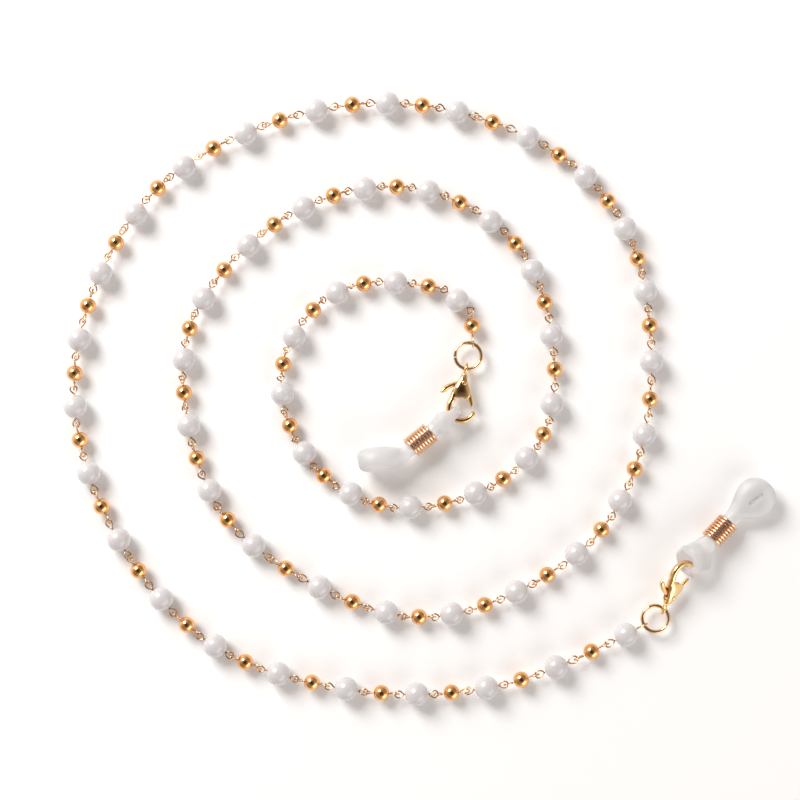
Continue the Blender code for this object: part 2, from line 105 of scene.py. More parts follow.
# Fine sizes of the visible surface
WIRE_RADIUS = 0.17
BEAD_HOLE = 0.3
BEAD_SEGMENTS = 32
BEAD_RINGS = 18
WIRE_SIDES = 8
EYE_POINTS = 26
BEAD_EDGE = 0.12
EYE_TUCK = 0.12
EYE_WRAP = 0.955
RING_CUT = 1.6
RIVET_HOLE = 0.42
TAIL_EYE_RADIUS = 1.07
TAIL_EYE_WIRE = 0.32
SLOT_HALF = 0.56
FINE_NECK = 1.6
SLIT_START = 3.3
SLIT_END = 6.1
SLIT_HALF = 0.34
COIL_TURNS = 8
FINE_COIL_RADIUS = COIL_RADIUS + 0.04
FINE_COIL_WIRE = 0.29
SILICONE_VOXEL = 0.16
CLASP_VOXEL = 0.1


# Layout of the strap, worked out as in the CAD model

def spline_point(before, start, end, after, t):
    """Catmull-Rom point between start and end."""
    slope_start = (end - before) / 2
    slope_end = (after - start) / 2
    return (start * (2 * t ** 3 - 3 * t ** 2 + 1) + slope_start * (t ** 3 - 2 * t ** 2 + t)
            + end * (3 * t ** 2 - 2 * t ** 3) + slope_end * (t ** 3 - t ** 2))


def bead_places():
    """Plan position of each bead centre along the route."""
    route = [Vector(point) for point in ROUTE]
    last = [Vector(point) for point in ROUTE_END]
    before = route[0] * 2 - route[1]
    after = route[-1] + (last[0] - route[-1]) * RUN_LINKS
    padded = [before] + route + [after]
    places = []
    for span in range(len(route) - 1):
        for step in range(RUN_LINKS):
            places.append(spline_point(*padded[span:span + 4], step / RUN_LINKS))
    return places + [route[-1]] + last


def bead_radius(link):
    """Pearls have even numbers, gold beads odd ones."""
    return PEARL_RADIUS if link % 2 == 0 else GOLD_RADIUS


def towards(start, end, distance):
    """Point at a distance from start on the line to end."""
    return start + (end - start).normalized() * distance


def hook_places(beads):
    """Plan position where each pair of eyes meets, with a jump ring's wire at both ends."""
    hooks = [towards(Vector(OUTER_RING), beads[0], RING_RADIUS)]
    for link in range(LINKS - 1):
        gap = (beads[link + 1] - beads[link]).length - bead_radius(link) - bead_radius(link + 1)
        hooks.append(towards(beads[link], beads[link + 1], bead_radius(link) + gap / 2))
    hooks.append(towards(Vector(INNER_RING), beads[-1], RING_RADIUS))
    return hooks


class Link:
    """Place of one link: its bead, its pin's line and the reach of its eyes."""

    def __init__(self, index, beads, hooks):
        self.index = index
        self.is_pearl = index % 2 == 0
        self.radius = bead_radius(index)
        height = Vector((0, 0, PEARL_AXIS_HEIGHT if self.is_pearl else GOLD_AXIS_HEIGHT))
        self.start = hooks[index].to_3d() + height
        self.end = hooks[index + 1].to_3d() + height
        self.axis = (self.end - self.start).normalized()
        offset = (beads[index].to_3d() + height - self.start).dot(self.axis)
        self.centre = self.start + self.axis * offset

    def side(self, forward):
        """Outward direction, distance from bead to hook and reach past it, at one end."""
        outward = self.axis if forward else -self.axis
        hook = self.end if forward else self.start
        room = (hook - self.centre).length - self.radius
        on_ring = self.index == (LINKS - 1 if forward else 0)
        reach = RING_WIRE + EYE_STEM if on_ring else min(EYE_REACH, room - EYE_CLEARANCE)
        return outward, room, reach

    def body(self):
        """Name of the CAD body that the link belongs to."""
        if self.index < LOOSE_LINKS:
            return f"link_outer_{self.index + 1}"
        if self.index >= LINKS - LOOSE_LINKS:
            return f"link_inner_{LINKS - self.index}"
        return f"chain_run_{(self.index - LOOSE_LINKS) // RUN_LINKS + 1:02d}"


def clasp_frame(end):
    """Frame of a clasp: origin in the tail eye, u along it, v to the thumb tab, w across."""
    yaw, pitch, roll = (math.radians(angle) for angle in end["clasp"])
    tail_yaw = math.radians(end["tail_yaw"])
    tail = Vector(end["ring"]) + Vector((math.cos(tail_yaw), math.sin(tail_yaw))) * RING_RADIUS
    turn = Matrix.Rotation(yaw, 4, "Z") @ Matrix.Rotation(-pitch, 4, "Y") @ Matrix.Rotation(roll, 4, "X")
    return Matrix.Translation(tail.to_3d() + Vector((0, 0, RING_HEIGHT))) @ turn


def silicone_layout(end, clasp):
    """Frames of the lobe, the coil and the temple loop of one end, and the lobe's far end."""
    leave = math.radians(end["leave"])
    reach = (CLAW_INNER + CLAW_OUTER) / 2
    hook = Matrix.Translation((CLAW_CENTRE[0] + reach * math.cos(leave),
                               CLAW_CENTRE[1] + reach * math.sin(leave), 0))
    lobe = clasp @ hook @ Matrix.Rotation(leave, 4, "Z") @ Matrix.Rotation(math.pi / 2, 4, "X")
    lobe_end = lobe @ Vector((LOBE_HOLE_LENGTH * 2 - LOBE_SETBACK + LOBE_WALL * 0.8, 0, 0))
    coil_centre = Vector(end["coil"])
    along = (coil_centre - lobe_end).normalized()
    coil = along.to_track_quat("X", "Z").to_matrix().to_4x4()
    coil.translation = coil_centre
    neck_end = coil_centre + along * (COIL_LENGTH / 2 + COIL_TRAVEL + 1.0)
    neck_end.z = end["temple_height"]
    temple = Matrix.Translation(neck_end) @ Matrix.Rotation(math.radians(end["temple_yaw"]), 4, "Z")
    temple = temple @ Matrix.Rotation(math.radians(end["temple_roll"]), 4, "X")
    return lobe, lobe_end, coil, temple


bead_plan = bead_places()
hook_plan = hook_places(bead_plan)
links = [Link(index, bead_plan, hook_plan) for index in range(LINKS)]

# The CAD model stands centred on the origin; its first bead gives the shift
first_low, first_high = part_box("pearl_bead_outer_1")
SHIFT = (first_low + first_high) / 2 / MM - links[0].centre
SHIFT.z = 0


# Mesh helpers

def raw_mesh(name, points, faces):
    """Mesh object in millimetres, before it is placed."""
    mesh = bpy.data.meshes.new(name)
    mesh.from_pydata([tuple(point) for point in points], [], faces)
    mesh.update()
    piece = bpy.data.objects.new(name, mesh)
    bpy.context.scene.collection.objects.link(piece)
    return piece


def place(piece, body, material, nodes, place_frame=None, sharp=None):
    """Moves a piece into the model's frame, shades it smooth and ties it to its body."""
    if place_frame is not None:
        piece.data.transform(place_frame)
    piece.data.transform(Matrix.Scale(MM, 4) @ Matrix.Translation(SHIFT))
    piece.data.materials.clear()
    piece.data.materials.append(material)
    piece.data.shade_smooth()
    if sharp is not None:
        piece.data.set_sharp_from_angle(angle=math.radians(sharp))
    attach(piece, body)
    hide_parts(*nodes)


def frames_along(points, start_normal):
    """Side vectors carried along a path without twist."""
    count = len(points)
    sides = []
    normal = start_normal.normalized()
    for index in range(count):
        before = points[max(index - 1, 0)]
        after = points[min(index + 1, count - 1)]
        along = (after - before).normalized()
        normal = (normal - along * normal.dot(along)).normalized()
        sides.append((normal.copy(), along.cross(normal)))
    return sides


def sweep(points, radius, sides, start_normal, closed=False):
    """Points and faces of a round tube along a path; an open tube has flat ends."""
    count = len(points)
    verts, faces = [], []
    for index, (normal, across) in enumerate(frames_along(points, start_normal)):
        for corner in range(sides):
            angle = 2 * math.pi * corner / sides
            verts.append(points[index] + (normal * math.cos(angle) + across * math.sin(angle)) * radius)
    for index in range(count if closed else count - 1):
        here = index * sides
        there = (index + 1) % count * sides
        for corner in range(sides):
            after = (corner + 1) % sides
            faces.append((here + corner, here + after, there + after, there + corner))
    if not closed:
        faces.append(tuple(range(sides))[::-1])
        faces.append(tuple(range((count - 1) * sides, count * sides)))
    return verts, faces


def merge(parts):
    """One list of points and faces from several."""
    verts, faces = [], []
    for part_verts, part_faces in parts:
        base = len(verts)
        verts += part_verts
        faces += [tuple(base + index for index in face) for face in part_faces]
    return verts, faces


def lathe(profile, segments, turn):
    """Closed profile of (radius, height) points turned about Z, then placed by a matrix."""
    verts, faces = [], []
    count = len(profile)
    for step in range(segments):
        angle = 2 * math.pi * step / segments
        for radius, height in profile:
            verts.append(turn @ Vector((radius * math.cos(angle), radius * math.sin(angle), height)))
    for step in range(segments):
        here = step * count
        there = (step + 1) % segments * count
        for index in range(count):
            after = (index + 1) % count
            faces.append((here + index, there + index, there + after, here + after))
    return verts, faces


def skin(sections, sides, power=1.0):
    """Closed surface through oval sections of (centre, half axis a, half axis b)."""
    verts, faces = [], []
    for centre, half_a, half_b in sections:
        for step in range(sides):
            angle = 2 * math.pi * step / sides
            c, s = math.cos(angle), math.sin(angle)
            along_a = math.copysign(abs(c) ** power, c)
            along_b = math.copysign(abs(s) ** power, s)
            verts.append(centre + half_a * along_a + half_b * along_b)
    for index in range(len(sections) - 1):
        here, there = index * sides, (index + 1) * sides
        for step in range(sides):
            after = (step + 1) % sides
            faces.append((here + step, here + after, there + after, there + step))
    faces.append(tuple(range(sides))[::-1])
    faces.append(tuple(range((len(sections) - 1) * sides, len(sections) * sides)))
    return verts, faces


def prism(outline, low, high):
    """Closed mesh object of an outline extruded along w."""
    count = len(outline)
    verts = [(u, v, low) for u, v in outline] + [(u, v, high) for u, v in outline]
    faces = [tuple(range(count))[::-1], tuple(range(count, 2 * count))]
    for index in range(count):
        after = (index + 1) % count
        faces.append((index, after, count + after, count + index))
    return raw_mesh("prism", verts, faces)


def apply_modifiers(piece):
    """Replaces a piece's mesh by what its modifiers make of it."""
    graph = bpy.context.evaluated_depsgraph_get()
    result = bpy.data.meshes.new_from_object(piece.evaluated_get(graph))
    piece.modifiers.clear()
    piece.data = result


def cut_away(target, tools):
    """Cuts each tool out of the target in turn; the tools are removed."""
    for tool in tools:
        modifier = target.modifiers.new("cut", "BOOLEAN")
        modifier.operation = "DIFFERENCE"
        modifier.solver = "EXACT"
        modifier.object = tool
        apply_modifiers(target)
        bpy.data.objects.remove(tool)


def cast(piece, voxel, smoothing):
    """Rounds a solid as moulding or casting does: remeshed finely, then smoothed."""
    remesh = piece.modifiers.new("remesh", "REMESH")
    remesh.mode = "VOXEL"
    remesh.voxel_size = voxel
    smooth = piece.modifiers.new("smooth", "SMOOTH")
    smooth.factor = 0.5
    smooth.iterations = smoothing
    apply_modifiers(piece)


def arc_outline(centre, radius, start, end, steps):
    """Points of an arc, angles in degrees from u towards v."""
    points = []
    for step in range(steps + 1):
        angle = math.radians(start + (end - start) * step / steps)
        points.append((centre[0] + radius * math.cos(angle), centre[1] + radius * math.sin(angle)))
    return points


# Materials

def new_material(name, metallic, coat=0.0, coat_roughness=0.1):
    """Principled material and its node tree."""
    material = bpy.data.materials.new(name)
    material.use_nodes = True
    shader = material.node_tree.nodes["Principled BSDF"]
    shader.inputs["Metallic"].default_value = metallic
    shader.inputs["Coat Weight"].default_value = coat
    shader.inputs["Coat Roughness"].default_value = coat_roughness
    return material, material.node_tree, shader


def noise(tree, scale, detail=4.0, roughness=0.5):
    """Noise over the piece in object space, scale in features per metre."""
    coordinates = tree.nodes.new("ShaderNodeTexCoord")
    texture = tree.nodes.new("ShaderNodeTexNoise")
    texture.inputs["Scale"].default_value = scale
    texture.inputs["Detail"].default_value = detail
    texture.inputs["Roughness"].default_value = roughness
    tree.links.new(coordinates.outputs["Object"], texture.inputs["Vector"])
    return texture.outputs["Fac"]


def ramp(tree, value, stops):
    """Colour ramp; stops are (position, colour)."""
    node = tree.nodes.new("ShaderNodeValToRGB")
    elements = node.color_ramp.elements
    while len(elements) < len(stops):
        elements.new(0.5)
    for element, (position, colour) in zip(elements, stops):
        element.position = position
        element.color = (*colour, 1)
    tree.links.new(value, node.inputs["Fac"])
    return node.outputs["Color"]


def spread(tree, value, low, high):
    """Maps the middle of a noise's range to low..high."""
    node = tree.nodes.new("ShaderNodeMapRange")
    node.inputs["From Min"].default_value = 0.3
    node.inputs["From Max"].default_value = 0.7
    node.inputs["To Min"].default_value = low
    node.inputs["To Max"].default_value = high
    tree.links.new(value, node.inputs["Value"])
    return node.outputs["Result"]


def bump(tree, shader, value, strength, distance):
    """Small relief, distance in metres."""
    node = tree.nodes.new("ShaderNodeBump")
    node.inputs["Strength"].default_value = strength
    node.inputs["Distance"].default_value = distance
    tree.links.new(value, node.inputs["Height"])
    tree.links.new(node.outputs["Normal"], shader.inputs["Normal"])


def plated_metal(name, dark, light, rough_low, rough_high):
    """Polished plating: slow colour drift, faint handling haze and fine scratches."""
    material, tree, shader = new_material(name, 1.0)
    drift = noise(tree, 260, 3)
    tree.links.new(ramp(tree, drift, [(0.3, dark), (0.7, light)]), shader.inputs["Base Color"])
    haze = noise(tree, 900, 5, 0.6)
    tree.links.new(spread(tree, haze, rough_low, rough_high), shader.inputs["Roughness"])
    bump(tree, shader, noise(tree, 2600, 6, 0.7), 0.05, 0.00001)
    return material


def pearl_material():
    """Imitation pearl: warm grey-white nacre under a soft coat, faintly uneven."""
    material, tree, shader = new_material("pearl", 0.0, coat=0.6, coat_roughness=0.13)
    cloud = noise(tree, 140, 3, 0.5)
    nacre = [(0.25, (0.62, 0.585, 0.585)), (0.5, (0.64, 0.61, 0.61)), (0.75, (0.66, 0.635, 0.63))]
    tree.links.new(ramp(tree, cloud, nacre), shader.inputs["Base Color"])
    tree.links.new(spread(tree, noise(tree, 1200, 4), 0.24, 0.32), shader.inputs["Roughness"])
    shader.inputs["Subsurface Weight"].default_value = 0.1
    shader.inputs["Subsurface Radius"].default_value = (0.0012, 0.0009, 0.0008)
    shader.inputs["Subsurface Scale"].default_value = 1.0
    shader.inputs["Specular IOR Level"].default_value = 0.7
    shader.inputs["Sheen Weight"].default_value = 0.12
    bump(tree, shader, noise(tree, 1500, 5, 0.6), 0.015, 0.00001)
    return material


def silicone_material():
    """Milky translucent silicone with a satin skin."""
    material, tree, shader = new_material("silicone", 0.0)
    cloud = noise(tree, 120, 3, 0.5)
    milk = [(0.3, (0.93, 0.91, 0.915)), (0.7, (0.97, 0.955, 0.955))]
    tree.links.new(ramp(tree, cloud, milk), shader.inputs["Base Color"])
    tree.links.new(spread(tree, noise(tree, 700, 4), 0.3, 0.42), shader.inputs["Roughness"])
    shader.inputs["IOR"].default_value = 1.41
    shader.inputs["Transmission Weight"].default_value = 0.55
    shader.inputs["Subsurface Weight"].default_value = 0.85
    shader.inputs["Subsurface Radius"].default_value = (0.005, 0.0045, 0.0048)
    shader.inputs["Subsurface Scale"].default_value = 1.0
    bump(tree, shader, noise(tree, 900, 4, 0.6), 0.08, 0.00002)
    return material


MATERIALS = {
    "pearl": pearl_material(),
    "silicone": silicone_material(),
    "gold_bead": plated_metal("gold_bead", (0.84, 0.41, 0.15), (0.94, 0.53, 0.23), 0.04, 0.09),
    "wire": plated_metal("wire_gold", (0.68, 0.40, 0.22), (0.83, 0.57, 0.35), 0.12, 0.22),
    "ring_gold": plated_metal("ring_gold", (0.82, 0.52, 0.28), (0.92, 0.65, 0.38), 0.1, 0.18),
    "clasp_gold": plated_metal("clasp_gold", (0.88, 0.54, 0.23), (0.95, 0.66, 0.33), 0.07, 0.15),
    "coil_copper": plated_metal("coil_copper", (0.80, 0.44, 0.24), (0.93, 0.60, 0.37), 0.07, 0.14),
    "spring_steel": plated_metal("spring_steel", (0.50, 0.50, 0.51), (0.64, 0.64, 0.65), 0.2, 0.3),
}


# Chain

def bead_mesh(link):
    """Bead turned about its pin, with rounded edges at its hole."""
    edge = math.asin((BEAD_HOLE + BEAD_EDGE) / link.radius)
    profile = [(BEAD_HOLE, link.radius * 0.9)]
    for step in range(BEAD_RINGS + 1):
        angle = edge + (math.pi - 2 * edge) * step / BEAD_RINGS
        profile.append((link.radius * math.sin(angle), link.radius * math.cos(angle)))
    profile.append((BEAD_HOLE, -link.radius * 0.9))
    turn = Vector((0, 0, 1)).rotation_difference(link.axis).to_matrix().to_4x4()
    return lathe(profile, BEAD_SEGMENTS, Matrix.Translation(link.centre) @ turn)


def eye_path(link, forward, roll):
    """Teardrop eye from its foot, round and nearly back to the foot."""
    outward, room, reach = link.side(forward)
    upright = not link.is_pearl or (link.index == 0 and not forward)
    normal = Vector((0, 0, 1)).cross(outward) if upright else Vector((0, 0, 1))
    normal = Matrix.Rotation(roll, 3, outward) @ normal
    across = normal.cross(outward)
    length = room + reach - EYE_STEM + EYE_TUCK
    foot = link.centre + outward * (link.radius + EYE_STEM - EYE_TUCK)
    points = []
    for step in range(EYE_POINTS + 1):
        turn = 2 * math.pi * EYE_WRAP * step / EYE_POINTS
        lift = (1 - math.cos(turn)) / 2
        swell = math.sin(turn) * max(lift, 0.0) ** 0.32
        offset = WIRE_RADIUS * 1.15 * (step / EYE_POINTS) ** 2
        points.append(foot + outward * length * lift + across * EYE_HALF_WIDTH * swell * 1.12
                      + normal * offset)
    return points, normal


def pin_mesh(link, rolls):
    """Eye pin: one wire round the first eye, through the bead and round the second eye."""
    back, back_normal = eye_path(link, False, rolls[link.index])
    front, _ = eye_path(link, True, rolls[link.index + 1])
    reach = link.radius * 0.95
    middle = [link.centre - link.axis * reach, link.centre, link.centre + link.axis * reach]
    return sweep(back[::-1] + middle + front, WIRE_RADIUS, WIRE_SIDES, back_normal)


def eye_rolls():
    """Small turn of each pair of eyes about the chain; pairs inside a run turn further."""
    dice = random.Random(5)
    rolls = []
    for hook in range(LINKS + 1):
        inside_run = LOOSE_LINKS < hook < LINKS - LOOSE_LINKS and (hook - LOOSE_LINKS) % RUN_LINKS
        widest = 34 if inside_run else 6
        rolls.append(math.radians(dice.uniform(-widest, widest)))
    rolls[0] = 0
    rolls[-1] = 0
    return rolls


def chain_pieces():
    """Beads and pins of every body along the chain."""
    rolls = eye_rolls()
    bodies = {}
    for link in links:
        bodies.setdefault(link.body(), []).append(link)
    for body, members in bodies.items():
        pearls = [bead_mesh(link) for link in members if link.is_pearl]
        golds = [bead_mesh(link) for link in members if not link.is_pearl]
        pins = [pin_mesh(link, rolls) for link in members]
        if body.startswith("link_"):
            loose_link(body, members[0], pearls or golds, pins)
            continue
        place(raw_mesh(f"{body}_pearls", *merge(pearls)), body, MATERIALS["pearl"], [body])
        place(raw_mesh(f"{body}_gold_beads", *merge(golds)), body, MATERIALS["gold_bead"],
              [body])
        place(raw_mesh(f"{body}_eye_pins", *merge(pins)), body, MATERIALS["wire"], [body])


def loose_link(body, link, bead, pin):
    """Bead that turns on its own eye pin."""
    end = body.removeprefix("link_")
    kind = "pearl" if link.is_pearl else "gold"
    slot_name = "pearl" if link.is_pearl else "gold_bead"
    place(raw_mesh(f"fine_{kind}_bead_{end}", *merge(bead)), f"bead_{end}", MATERIALS[slot_name],
          [f"{kind}_bead_{end}"])
    place(raw_mesh(f"fine_eye_pin_{end}", *merge(pin)), body, MATERIALS["wire"],
          [f"eye_pin_{end}"])


# Jump rings

def jump_ring(side, end, hook):
    """Round wire ring, cut once where it was opened to join the clasp."""
    centre = Vector(end["ring"]).to_3d() + Vector((0, 0, RING_HEIGHT))
    to_hook = hook.to_3d() - Vector(end["ring"]).to_3d()
    cut_at = math.atan2(to_hook.y, to_hook.x) + math.radians(115)
    half_cut = math.radians(RING_CUT)
    steps = 72
    points = []
    for step in range(steps + 1):
        angle = cut_at + half_cut + (2 * math.pi - 2 * half_cut) * step / steps
        points.append(centre + Vector((math.cos(angle), math.sin(angle), 0)) * RING_RADIUS)
    ring = raw_mesh(f"fine_jump_ring_{side}", *sweep(points, RING_WIRE, 16, Vector((0, 0, 1))))
    place(ring, f"ring_{side}", MATERIALS["ring_gold"], [f"jump_ring_{side}"], sharp=50)


# Lobster clasps

def flat_sections(stations):
    """Sections of a flat bar: (u, v, half width, half thickness), upright on its own path."""
    sections = []
    for index, (u, v, half_width, half_thickness) in enumerate(stations):
        before = stations[max(index - 1, 0)]
        after = stations[min(index + 1, len(stations) - 1)]
        along = Vector((after[0] - before[0], after[1] - before[1], 0)).normalized()
        side = Vector((-along.y, along.x, 0))
        sections.append((Vector((u, v, 0)), side * half_width, Vector((0, 0, half_thickness))))
    return sections


def hook_stations():
    """Bar that leaves the body, goes round the claw's centre and narrows to the nose."""
    middle = (CLAW_INNER + CLAW_OUTER) / 2
    stations = [(3.6, 0.6, 0.7, 0.9), (4.8, 1.0, 0.75, 0.85), (5.9, 1.3, 0.66, 0.78)]
    steps = 26
    for step in range(steps + 1):
        share = step / steps
        angle = math.radians(118 - 206 * share)
        nose = max(0.0, share - 0.9) / 0.1
        half_width = (0.7 - 0.14 * share) * math.sqrt(1 - 0.85 * nose ** 2)
        half_thickness = (0.8 - 0.14 * share) * math.sqrt(1 - 0.85 * nose ** 2)
        stations.append((CLAW_CENTRE[0] + middle * math.cos(angle),
                         CLAW_CENTRE[1] + middle * math.sin(angle), half_width, half_thickness))
    return stations


def rivet_hole():
    """Tool that cuts the hole for the rivet."""
    return prism(arc_outline(PIVOT, RIVET_HOLE, 0, 345, 23), -2, 2)


def clasp_body(side, frame_matrix, roll):
    """Cast body: tail eye, domed cheeks with a slot between, and the hook."""
    cheeks = [(0.8, 0, 0.35, 0.4), (1.2, 0, 0.6, 0.72), (2.0, 0, 0.92, 1.02), (3.0, 0, 1.32, 1.18),
              (4.2, -0.08, 1.85, 1.18), (5.1, -0.22, 2.15, 1.08), (5.8, -0.36, 2.22, 0.9),
              (6.3, -0.42, 2.1, 0.72)]
    eye_turn = Matrix.Rotation(-math.radians(roll), 3, "X")
    steps = 32
    tail_eye = []
    for step in range(steps):
        angle = 2 * math.pi * step / steps
        tail_eye.append(eye_turn @ Vector((math.cos(angle), 0, math.sin(angle))) * TAIL_EYE_RADIUS)
    shells = [skin(flat_sections(cheeks), 32, 0.85), skin(flat_sections(hook_stations()), 20, 0.9),
              sweep(tail_eye, TAIL_EYE_WIRE, 12, eye_turn @ Vector((0, 1, 0)), closed=True)]
    body = raw_mesh("clasp", *merge(shells))
    cast(body, CLASP_VOXEL, 3)
    mouth = prism(arc_outline(CLAW_CENTRE, CLAW_INNER, 0, 354, 59), -3, 3)
    slot_cut = prism([(1.9, -4.5), (6.6, -4.5), (6.6, 0.3), (4.7, 0.3), (4.7, 4), (1.9, 4)],
                     -SLOT_HALF, SLOT_HALF)
    cut_away(body, [mouth, slot_cut, rivet_hole()])
    cast(body, CLASP_VOXEL, 2)
    body.name = f"fine_clasp_body_{side}"
    place(body, f"clasp_{side}", MATERIALS["clasp_gold"], [f"clasp_body_{side}"],
          frame_matrix)


def clasp_lever(side, frame_matrix):
    """Cast lever: gate on one side of the rivet, leaf-shaped thumb tab on the other."""
    gate = [(2.6, -0.1, 0.5, 0.42), (3.3, -0.6, 0.52, 0.42), (4.4, -1.35, 0.5, 0.42),
            (5.6, -2.1, 0.52, 0.5), (6.8, -2.72, 0.46, 0.5), (7.4, -2.98, 0.34, 0.4),
            (7.6, -3.07, 0.14, 0.18)]
    tab = [(3.0, -0.6, 0.5, 0.42), (3.2, 0.5, 0.5, 0.42), (3.6, 1.6, 0.48, 0.44),
           (4.4, 2.7, 0.55, 0.5), (5.2, 3.45, 0.58, 0.55), (5.75, 3.9, 0.4, 0.45),
           (5.95, 4.05, 0.14, 0.2)]
    hub = lathe([(0.001, -0.43), (0.8, -0.43), (0.8, 0.43), (0.001, 0.43)], 28,
                Matrix.Translation((*PIVOT, 0)))
    shells = [skin(flat_sections(gate), 20), skin(flat_sections(tab), 20), hub]
    lever = raw_mesh("lever", *merge(shells))
    cast(lever, CLASP_VOXEL * 0.8, 3)
    cut_away(lever, [rivet_hole()])
    lever.name = f"fine_clasp_lever_{side}"
    place(lever, f"lever_{side}", MATERIALS["clasp_gold"], [f"clasp_lever_{side}"],
          frame_matrix, sharp=50)


def clasp_rivet(side, frame_matrix):
    """Rivet with low domed heads."""
    profile = [(0.001, -1.32), (0.3, -1.27), (0.5, -1.2), (0.5, -1.14), (0.3, -1.12),
               (0.3, 1.12), (0.5, 1.14), (0.5, 1.2), (0.3, 1.27), (0.001, 1.32)]
    at_pivot = Matrix.Translation((*PIVOT, 0))
    rivet = raw_mesh(f"fine_clasp_rivet_{side}", *lathe(profile, 28, at_pivot))
    place(rivet, f"clasp_{side}", MATERIALS["clasp_gold"], [f"clasp_pin_{side}"],
          frame_matrix)


def lever_spring(side, frame_matrix):
    """Fine torsion spring, wound round the rivet beside the lever."""
    radius, turns, low, rise = 0.62, 2.4, 0.5, 0.07
    points = []
    steps = 60
    for step in range(steps + 1):
        angle = 2 * math.pi * turns * step / steps
        points.append(Vector((PIVOT[0] + radius * math.cos(angle), PIVOT[1] + radius * math.sin(angle),
                              low + rise * step / steps)))
    spring = raw_mesh(f"fine_lever_spring_{side}", *sweep(points, 0.035, 6, Vector((0, 0, 1))))
    place(spring, f"clasp_{side}", MATERIALS["spring_steel"],
          [f"lever_spring_{side}"], frame_matrix)


# Silicone temple loops and their coils

def temple_shell(coil, temple):
    """Teardrop loop that swells out of the neck just past the coil."""
    stations = [(0.9, 2.5, 1.95), (1.9, 3.2, 2.2), (3.0, 3.85, 2.4), (4.4, 4.3, 2.55),
                (5.6, 4.35, 2.6), (6.8, 3.98, 2.55), (7.8, 3.25, 2.35), (8.5, 2.4, 2.05),
                (8.95, 1.5, 1.6), (9.18, 0.6, 0.9)]
    turn = temple.to_3x3()
    width_way, thickness_way = turn @ Vector((0, 1, 0)), turn @ Vector((0, 0, 1))
    along = coil.to_3x3() @ Vector((1, 0, 0))
    across = (width_way - along * width_way.dot(along)).normalized()
    through = (thickness_way - along * thickness_way.dot(along)).normalized()
    sections = []
    for past, half_width in ((-1.0, 1.56), (COIL_TRAVEL, FINE_NECK), (COIL_TRAVEL + 0.5, 1.78)):
        centre = coil @ Vector((COIL_LENGTH / 2 + past, 0, 0))
        sections.append((centre, across * half_width, through * half_width))
    for x, half_width, half_thickness in stations:
        sections.append((temple @ Vector((x, 0, 0)), width_way * half_width,
                         thickness_way * half_thickness))
    return skin(sections, 36, 0.9)


def lobe_shells(neck_start, spread, wide_side):
    """Lobe in its own frame: bar through the claw, two sides past it and a bulb up to the neck."""
    shells = []
    for sign in (-1, 1):
        near, beside, past = (1.3, 2.2, spread * 0.8) if sign == wide_side else (1.0, 1.12, 1.2)
        bar = [(-1.45, 1.5, 0.75, near), (-0.9, 2.0, 0.85, beside), (0.2, 2.1, 0.88, past),
               (1.3, 2.0, 0.95, spread * 0.8), (2.4, 1.6, 1.05, spread * 0.9)]
        shells.append(skin([(Vector((x, sign * y, 0)), Vector((0, half_y, 0)), Vector((0, 0, half_z)))
                            for x, y, half_y, half_z in bar], 24, 0.9))
    shells.append(skin([(Vector((-1.6, y, 0)), Vector((0.65, 0, 0)), Vector((0, 0, 1.1)))
                        for y in (-2.1, -1.2, 0, 1.2, 2.1)], 24, 0.9))
    least = 1.66
    bulb = []
    for share, half_y, half_z in ((0.28, 1.9, 0.7), (0.38, 2.6, 0.9), (0.52, 2.9, 0.98),
                                  (0.72, 2.7, 0.94), (0.92, 2.3, 0.8), (1.12, 1.95, 0.62)):
        bulb.append((neck_start * share, Vector((0, half_y, 0)),
                     Vector((0, 0, max(spread * half_z, least)))))
    shells.append(skin(bulb, 28, 0.95))
    return shells


def neck_shells(lobe_end, coil, spread):
    """Round neck through the coil, and its swelling between the lobe and the coil."""
    coil_start = coil @ Vector((-COIL_LENGTH / 2, 0, 0))
    coil_end = coil @ Vector((COIL_LENGTH / 2, 0, 0))
    path = [lobe_end + (coil_end - lobe_end) * step / 8 for step in range(9)]
    neck = sweep(path, FINE_NECK, 24, Vector((0, 0, 1)))
    extra = max(0.15, spread * 0.62 - FINE_NECK)
    swelling = []
    for share, extra_share in ((0, 1), (0.45, 0.7), (0.8, 0.28), (0.97, 0)):
        half_width = FINE_NECK + extra * extra_share
        swelling.append((lobe_end + (coil_start - lobe_end) * share,
                         coil.to_3x3() @ Vector((0, half_width, 0)),
                         coil.to_3x3() @ Vector((0, 0, half_width * 0.9))))
    return [neck, skin(swelling, 24, 0.95)]


def slit_tool(temple):
    """Tool with round ends that cuts the slit for the temple arm."""
    outline = (arc_outline((SLIT_END, 0), SLIT_HALF, -90, 90, 10)
               + arc_outline((SLIT_START, 0), SLIT_HALF, 90, 270, 10))
    tool = prism(outline, -4, 4)
    tool.data.transform(temple)
    return tool


def silicone_loop(side, end, clasp):
    """Moulded figure of eight: small lobe on the hook, round neck and temple loop."""
    lobe_frame, lobe_end, coil, temple = silicone_layout(end, clasp)
    parts = []
    for verts, faces in lobe_shells(lobe_frame.inverted() @ lobe_end, end["lobe_spread"],
                                    end["lobe_wide_side"]):
        parts.append(([lobe_frame @ point for point in verts], faces))
    parts.append(temple_shell(coil, temple))
    parts += neck_shells(lobe_end, coil, end["lobe_spread"])
    loop = raw_mesh(f"fine_silicone_loop_{side}", *merge(parts))
    cast(loop, SILICONE_VOXEL, 14)
    cut_away(loop, [slit_tool(temple)])
    cast(loop, SILICONE_VOXEL, 4)
    place(loop, f"temple_{side}", MATERIALS["silicone"], [f"silicone_loop_{side}"])


